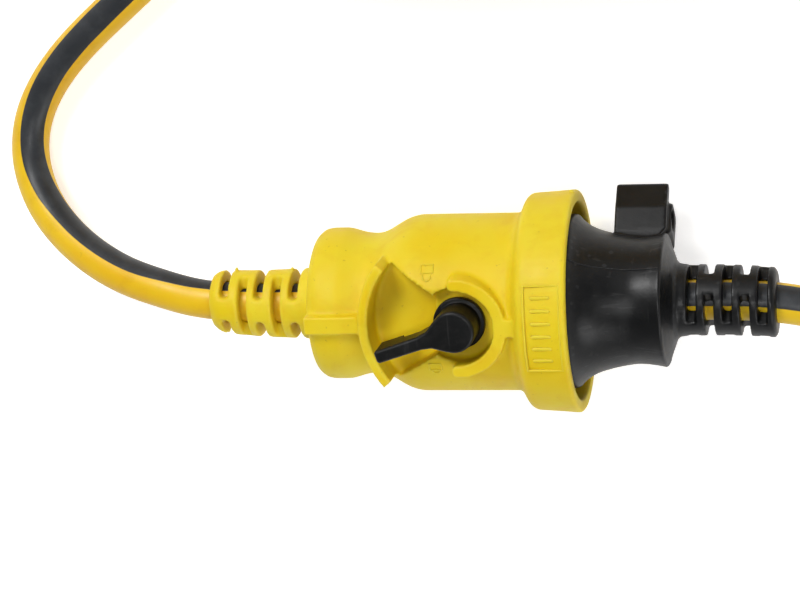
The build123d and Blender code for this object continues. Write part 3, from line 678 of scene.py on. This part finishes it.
def shape_socket(co):
    r = axis_distance(co)
    # fuller shoulder at the -X end of the body
    co[:, 1:] *= (1 + 0.019 * fall(co[:, 0], end=-48.0, length=5.0)
                  * rise(co[:, 0], start=-62.0, length=2.0)
                  * rise(r, start=12.0, length=4.0))[:, None]
    # the collar reaches further than its rigid seat
    reach = 1.2 * rise(co[:, 0], start=-7.0, length=9.0) * rise(r, start=19.5, length=2.5)
    co[:, 0] = np.interp(co[:, 0], *SOCKET_STRETCH) + reach
    # the strain relief gives towards +Y with the lead
    give = np.interp(co[:, 0], socket_run[:, 0], socket_run[:, 1])
    co[:, 1] += np.where(co[:, 0] < -71, give, 0)
    lean_collar(co)


def shape_plug(co):
    body = 1 - rise(axis_distance(co), start=17.0, length=1.5)
    co[:, 1:] *= (1 - 0.03 * body * rise(co[:, 0], start=12.0, length=14.0)
                  * fall(co[:, 0], end=31.0, length=2.0))[:, None]
    co[:, 0] += body * (np.interp(co[:, 0], *PLUG_STRETCH) - co[:, 0])
    # the strain relief gives towards -Y with the lead
    give = np.interp(co[:, 0], plug_run[:, 0], plug_run[:, 1])
    co[:, 1] += np.where(co[:, 0] > 31, give, 0)


reshape(socket, shape_socket)
reshape(plug, shape_plug)


# ------------------------------------------------------------------ moulded details
BEAD_STEP = 0.35
# across the bead in widths, up from the body in heights
BEAD_SECTION = [(-0.5, -0.35), (-0.42, 0.35), (-0.2, 0.9), (0.0, 1.0), (0.2, 0.9),
                (0.42, 0.35), (0.5, -0.35)]


def on_round(x, angle, r):
    """Point on a round body, in metres."""
    a = math.radians(angle)
    return Vector((x, r * math.cos(a), r * math.sin(a))) * MM


def fill_in(points, r, closed):
    """Adds points about BEAD_STEP apart along a line of (x, angle)."""
    dense = []
    for j in range(len(points) if closed else len(points) - 1):
        (x0, a0), (x1, a1) = points[j], points[(j + 1) % len(points)]
        length = math.hypot(x1 - x0, math.radians(a1 - a0) * r)
        steps = max(2, int(length / BEAD_STEP))
        for i in range(steps):
            part = i / steps
            dense.append((x0 + (x1 - x0) * part, a0 + (a1 - a0) * part))
    if not closed:
        dense.append(points[-1])
    return dense


def bead(name, lines, r, width, height, closed=True):
    """Raised moulded lines of (x, angle) points on the socket, with a soft section."""
    verts, faces = [], []
    sides = len(BEAD_SECTION)
    for points in lines:
        dense = fill_in(points, r, closed)
        n = len(dense)
        base = len(verts)
        for j, (x, angle) in enumerate(dense):
            if closed:
                before, after = dense[j - 1], dense[(j + 1) % n]
            else:
                before, after = dense[max(0, j - 1)], dense[min(n - 1, j + 1)]
            along_x = after[0] - before[0]
            around = math.radians(after[1] - before[1]) * r
            length = math.hypot(along_x, around) or 1.0
            across_x, across_round = -around / length, along_x / length
            taper = 0.45 if not closed and j in (0, n - 1) else 1.0
            for u, v in BEAD_SECTION:
                verts.append(on_round(
                    x + across_x * u * width * taper,
                    angle + math.degrees(across_round * u * width * taper / r),
                    r + v * height))
        faces += ring_quads(n, sides, base, closed)
        if not closed:
            faces += ring_caps(n, sides, base, flip=True)
    obj = mesh_object(name, verts, faces)
    dress(obj, "yellow_pvc")
    return obj


def padlock(name, x, angle, is_open):
    """A padlock outline; its shackle points to the smaller x-side angle's opposite, +angle."""
    r = 22.0
    per_mm = math.degrees(1 / r)
    half_width, body_top, body_bottom = 1.5, -0.2, -2.4
    top, bottom = angle + body_top * per_mm, angle + body_bottom * per_mm
    body = [(x - half_width, top), (x + half_width, top),
            (x + half_width, bottom), (x - half_width, bottom)]
    lift = 0.8 if is_open else 0.0
    shackle = []
    for i in range(13):
        t = math.pi * i / 12
        shackle.append((x - 1.0 * math.cos(t),
                        angle + (body_top + lift + 1.25 * math.sin(t)) * per_mm))
    if is_open:
        shackle = [(x - 1.0, top)] + shackle + [(x + 1.0, angle + 0.35 * per_mm)]
    return [bead(name + "_body", [body], r, width=0.42, height=0.24),
            bead(name + "_shackle", [shackle], r, width=0.42, height=0.24, closed=False)]


def nib(name, x, angle, r, size, height):
    """A small torn moulding nib."""
    rings, sides = 5, 10
    verts = []
    for i in range(rings):
        part = i / (rings - 1)
        radius = size * (1 - 0.62 * part ** 1.6)
        for k in range(sides):
            t = 2 * math.pi * k / sides
            ragged = 1 + 0.18 * math.sin(3 * t + 2.1 * i)
            around = radius * ragged * math.sin(t) * 0.8
            verts.append(on_round(x + radius * ragged * math.cos(t),
                                  angle + math.degrees(around / r),
                                  r - 0.3 + (height + 0.3) * part))
    faces = ring_quads(rings, sides) + ring_caps(rings, sides, flip=True)
    obj = mesh_object(name, verts, faces)
    dress(obj, "yellow_pvc")
    return obj


# blank raised frame on the collar with plain bars inside it
badge = bead("badge_frame", [[(-4.2, 66.5), (4.3, 66.5), (4.3, 111.5), (-4.2, 111.5)]],
             r=27.18, width=0.62, height=0.34)
bars = [[(-2.6, 72.5 + 6.6 * i), (2.2, 72.5 + 6.6 * i)] for i in range(6)]
badge_bars = bead("badge_bars", bars, r=27.16, width=0.95, height=0.30, closed=False)
marks = (padlock("mark_open", x=-28.6, angle=56.0, is_open=True)
         + padlock("mark_closed", x=-27.8, angle=123.2, is_open=False))
relief_nibs = [nib("nib_relief_a", x=-81.2, angle=-2.0, r=8.15, size=0.55, height=0.9),
               nib("nib_relief_b", x=-66.9, angle=-4.0, r=8.8, size=0.6, height=0.45)]
collar_nib = nib("nib_collar", x=4.9, angle=-1.5, r=27.4, size=0.7, height=0.5)
for piece in (badge, badge_bars, collar_nib):
    reshape(piece, lean_collar)
for piece in relief_nibs:
    reshape(piece, shape_socket)

# x, radius of the plug's waist
WAIST = np.array([
    (5.4, 21.2), (7.4, 19.2), (10.5, 17.6), (13.6, 16.6), (17.0, 15.95), (20.0, 15.75),
    (22.6, 15.85), (24.8, 16.1), (26.7, 16.4)])


def seam(name, angle):
    """The plug's moulding line: a fine flash ridge along the waist."""
    start, end, steps = 5.6, 26.5, 70
    verts = []
    for i in range(steps + 1):
        x = start + (end - start) * i / steps
        r = float(np.interp(x, WAIST[:, 0], WAIST[:, 1]))
        height = 0.10 + 0.04 * math.sin(i * 1.7) * math.sin(i * 0.43)
        for around, up in ((-0.17, -0.12), (-0.06, height), (0.06, height), (0.17, -0.12)):
            verts.append(on_round(x, angle + math.degrees(around / r), r + up))
    obj = mesh_object(name, verts, ring_quads(steps + 1, 4) + ring_caps(steps + 1, 4))
    dress(obj, "black_pvc")
    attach(obj, "plug")


seam("seam_upper", angle=46.0)
seam("seam_lower", angle=46.0 + 180.0)


# ------------------------------------------------------------------ what moves with what
for piece in [socket, badge, badge_bars] + marks + relief_nibs + [collar_nib]:
    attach(piece, "socket")
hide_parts("socket_housing")
for piece, carrier, node in ((lead, "socket", "flexible_lead"), (plug, "plug", "plug_housing"),
                             (lever, "lever", "lock_lever")):
    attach(piece, carrier)
    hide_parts(node)

# the tail, between the coil and the plug, is kept in world space (metres)
bpy.context.view_layer.update()
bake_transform(lead_tail)
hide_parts("lead_plug_end")


# ------------------------------------------------------------------ carried-over CAD pieces
LOOKS = {
    "socket_face": "yellow_pvc", "rear_carrier": "nylon", "pin_carrier": "black_pvc",
    "earth_contact": "brass", "active_contact": "brass", "neutral_contact": "brass",
    "earth_pin": "brass", "active_pin": "brass", "neutral_pin": "brass",
    "active_sleeve": "sleeve_black", "neutral_sleeve": "sleeve_black",
    "lock_spindle": "steel", "spindle_clip": "steel", "lock_shoe": "nylon",
}
CORES = {"earth_core": "core_earth", "active_core": "core_brown", "neutral_core": "core_blue"}


def look_of(node):
    """Material name for a CAD node, or None where it keeps its own."""
    if node in LOOKS:
        return LOOKS[node]
    if node.endswith("_wire"):
        return "copper"
    return next((look for core, look in CORES.items() if core in node), None)


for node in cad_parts:
    look = look_of(node)
    if look is None:
        continue
    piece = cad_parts[node]
    piece.data.materials.clear()
    piece.data.materials.append(MATERIALS[look])
    # wires and cores stay unbevelled
    if node in LOOKS:
        bevel = piece.modifiers.new("edges", "BEVEL")
        bevel.width = 0.00012
        bevel.segments = 2
        bevel.limit_method = "ANGLE"
        bevel.angle_limit = math.radians(40)


# ------------------------------------------------------------------ floor, light and camera
def build_floor():
    """A white square just under the lowest CAD point, brighter to the camera (metres)."""
    half = 3.0
    z = cad_lo.z - 0.0002
    mesh = bpy.data.meshes.new("floor")
    mesh.from_pydata([(-half, -half, z), (half, -half, z), (half, half, z), (-half, half, z)],
                     [], [(0, 1, 2, 3)])
    floor = new_object("floor", mesh)
    m = Material("floor_white")
    m.set("Base Color", m.blend((0.90, 0.90, 0.90, 1), (0.93, 0.93, 0.93, 1),
                                by=m.noise(scale=3.0, detail=2.0), over=(0.3, 0.7)))
    m.set("Roughness", 0.9)
    m.set("Specular IOR Level", 0.1)
    m.set("Emission Color", (1, 1, 1, 1))
    seen = m.node("ShaderNodeLightPath").outputs["Is Camera Ray"]
    m.set("Emission Strength", m.remap(seen, over=(0.0, 1.0), to=(0.12, 0.52)))
    mesh.materials.append(MATERIALS["floor_white"])


def build_world():
    """A grey gradient over the generated Z coordinate."""
    world = bpy.data.worlds.new("studio")
    scene.world = world
    world.use_nodes = True
    tree = world.node_tree
    background = tree.nodes["Background"]
    coords = tree.nodes.new("ShaderNodeTexCoord")
    axes = tree.nodes.new("ShaderNodeSeparateXYZ")
    tree.links.new(coords.outputs["Generated"], axes.inputs[0])
    ramp = tree.nodes.new("ShaderNodeValToRGB")
    stops = ramp.color_ramp.elements
    stops[0].position, stops[0].color = 0.0, (0.85, 0.85, 0.85, 1)
    stops[1].position, stops[1].color = 1.0, (0.05, 0.05, 0.055, 1)
    stops.new(0.5).color = (0.34, 0.34, 0.35, 1)
    tree.links.new(axes.outputs[2], ramp.inputs[0])
    tree.links.new(ramp.outputs[0], background.inputs["Color"])
    background.inputs["Strength"].default_value = 1.0


def area_light(name, place, target, size, power):
    """A rectangular light (metres, watts)."""
    light = bpy.data.lights.new(name, "AREA")
    light.shape = "RECTANGLE"
    light.size, light.size_y = size
    light.energy = power
    obj = new_object(name, light)
    obj.location = place
    obj.rotation_mode = "QUATERNION"
    obj.rotation_quaternion = (Vector(target) - Vector(place)).to_track_quat("-Z", "Y")


def build_camera():
    roll = math.radians(0.5)
    distance = 0.650        # metres
    target = Vector((-40.0, 0.6, 0.0)) * MM
    side_sin, side_cos = math.sin(CAMERA_SIDE), math.cos(CAMERA_SIDE)
    tilt_sin, tilt_cos = math.sin(CAMERA_TILT), math.cos(CAMERA_TILT)
    back = Vector(TO_VIEWER)
    level_right = Vector((side_cos, -side_sin * tilt_sin, -side_sin * tilt_cos))
    level_up = Vector((0, tilt_cos, -tilt_sin))
    right = level_right * math.cos(roll) - level_up * math.sin(roll)
    up = level_up * math.cos(roll) + level_right * math.sin(roll)
    data = bpy.data.cameras.new("camera")
    data.sensor_width = 36.0
    data.lens = 117.0
    data.clip_start = 0.01
    data.clip_end = 50.0
    camera = new_object("camera", data)
    turn = Matrix((right, up, back)).transposed()
    camera.matrix_world = Matrix.Translation(target + back * distance) @ turn.to_4x4()
    scene.camera = camera


build_floor()
build_world()
area_light("key", place=(-0.30, 0.64, 0.66), target=(-0.04, 0.0, 0.0),
           size=(0.34, 0.28), power=5.2)
area_light("fill", place=(0.45, -0.45, 0.55), target=(0.0, 0.0, 0.0),
           size=(0.5, 0.4), power=2.0)
area_light("front", place=(0.10, 0.10, 0.95), target=(-0.03, 0.0, 0.0),
           size=(0.16, 0.16), power=1.8)
build_camera()
scene.view_settings.view_transform = "Standard"

bpy.context.view_layer.update()
